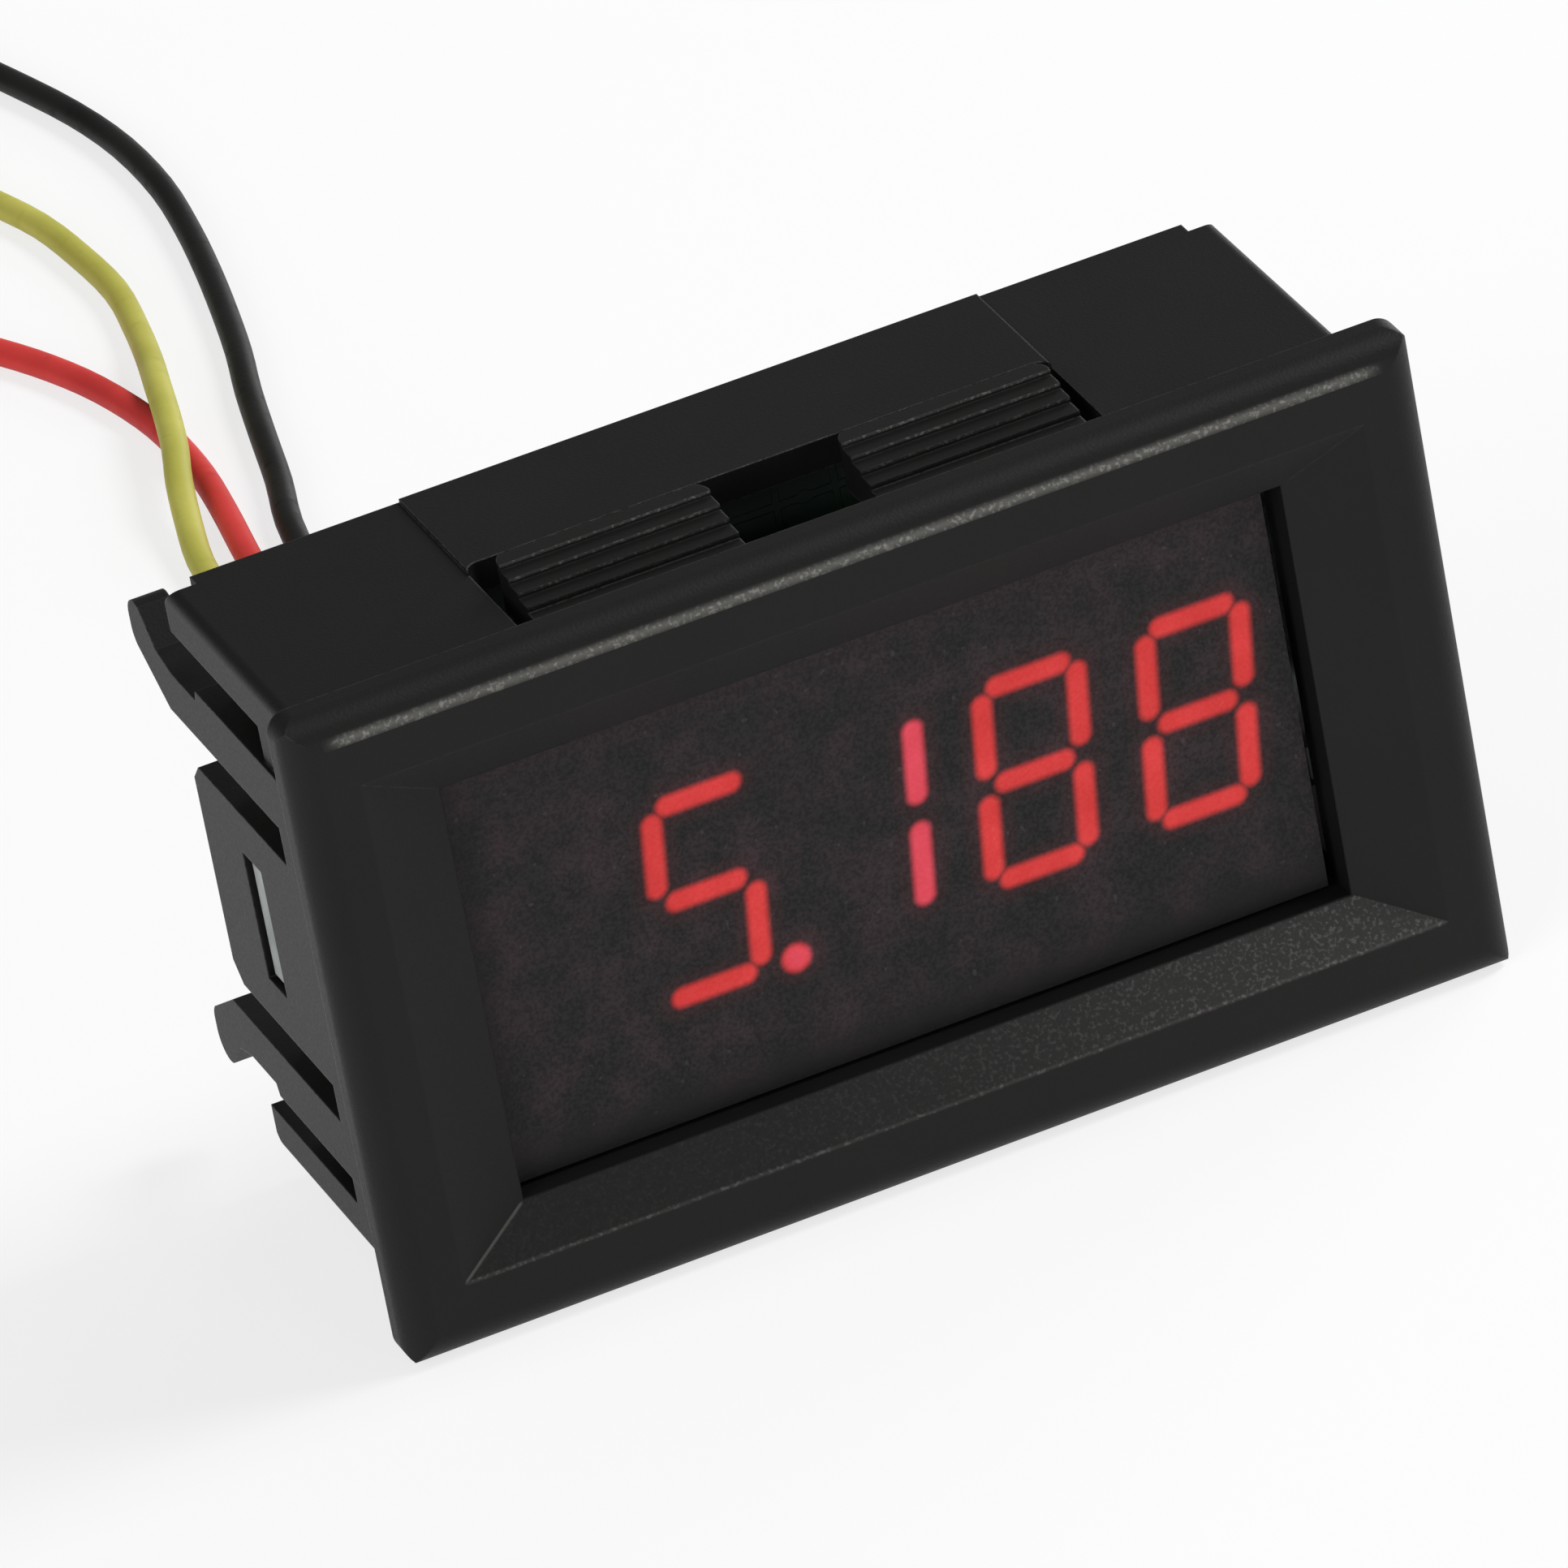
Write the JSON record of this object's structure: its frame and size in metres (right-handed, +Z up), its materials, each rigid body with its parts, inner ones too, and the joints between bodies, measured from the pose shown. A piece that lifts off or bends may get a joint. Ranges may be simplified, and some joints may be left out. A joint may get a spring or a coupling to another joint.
{
  "type": "digital panel meter",
  "caption": "Small rectangular LED panel meter in a black snap-in housing with ribbed tongues, side arms and three free leads.",
  "frame": {"origin": "centre of the bezel's back face, which lies against the panel", "axes": "+Y to the rear, out of the bezel's back face and along the body; +X to the right seen from the front; +Z up. The meter stands on the bezel's bottom edge"},
  "size_m": [0.0498, 0.1352, 0.029],
  "materials": {
    "housing": "moulded black ABS, satin with a fine grain",
    "filter_film": "dark neutral film, fine grain",
    "display_plastic": "white moulded plastic",
    "lit_segment": "red, lit",
    "unlit_segment": "milky resin, unlit",
    "tinned_metal": "tinned, bright",
    "solder": "solder, satin",
    "board": "green solder mask",
    "chip_plastic": "black moulding compound",
    "resistor": "black glazed ceramic",
    "capacitor": "tan ceramic",
    "trimmer_plastic": "cream moulded plastic",
    "rotor_metal": "plated",
    "yellow_insulation": "satin PVC",
    "red_insulation": "satin PVC",
    "black_insulation": "satin PVC"
  },
  "bodies": {
    "meter": {"housing": "housing", "display_filter": "filter_film", "display_shell": "display_plastic", "digit_1_unlit": "unlit_segment", "digit_2_lit": "lit_segment", "digit_2_unlit": "unlit_segment", "digit_3_lit": "lit_segment", "digit_3_unlit": "unlit_segment", "digit_4_lit": "lit_segment", "digit_5_lit": "lit_segment", "point_lit": "lit_segment", "points_unlit": "unlit_segment", "display_pins": "tinned_metal", "display_solder": "solder", "circuit_board": "board", "chip_body": "chip_plastic", "chip_pins": "tinned_metal", "regulator_body": "chip_plastic", "regulator_leads": "tinned_metal", "diode_body": "chip_plastic", "diode_leads": "tinned_metal", "chip_resistors": "resistor", "chip_capacitors": "capacitor", "chip_end_caps": "solder", "trimmer_body": "trimmer_plastic", "trimmer_terminals": "tinned_metal", "lead_solder": "solder", "yellow_lead": "yellow_insulation", "red_lead": "red_insulation", "black_lead": "black_insulation", "yellow_coil": "yellow_insulation", "red_coil": "red_insulation", "black_coil": "black_insulation", "yellow_tinned_end": "tinned_metal", "red_tinned_end": "tinned_metal", "black_tinned_end": "tinned_metal"},
    "trimmer_screw": {"trimmer_rotor": "rotor_metal"}
  },
  "joints": [
    {"name": "trimmer_turn", "type": "hinge", "parent": "meter", "child": "trimmer_screw", "pos_m": [-0.016, 0.0128, 0.002], "axis": [0, 1, 0], "range_deg": [-130, 130]}
  ]
}
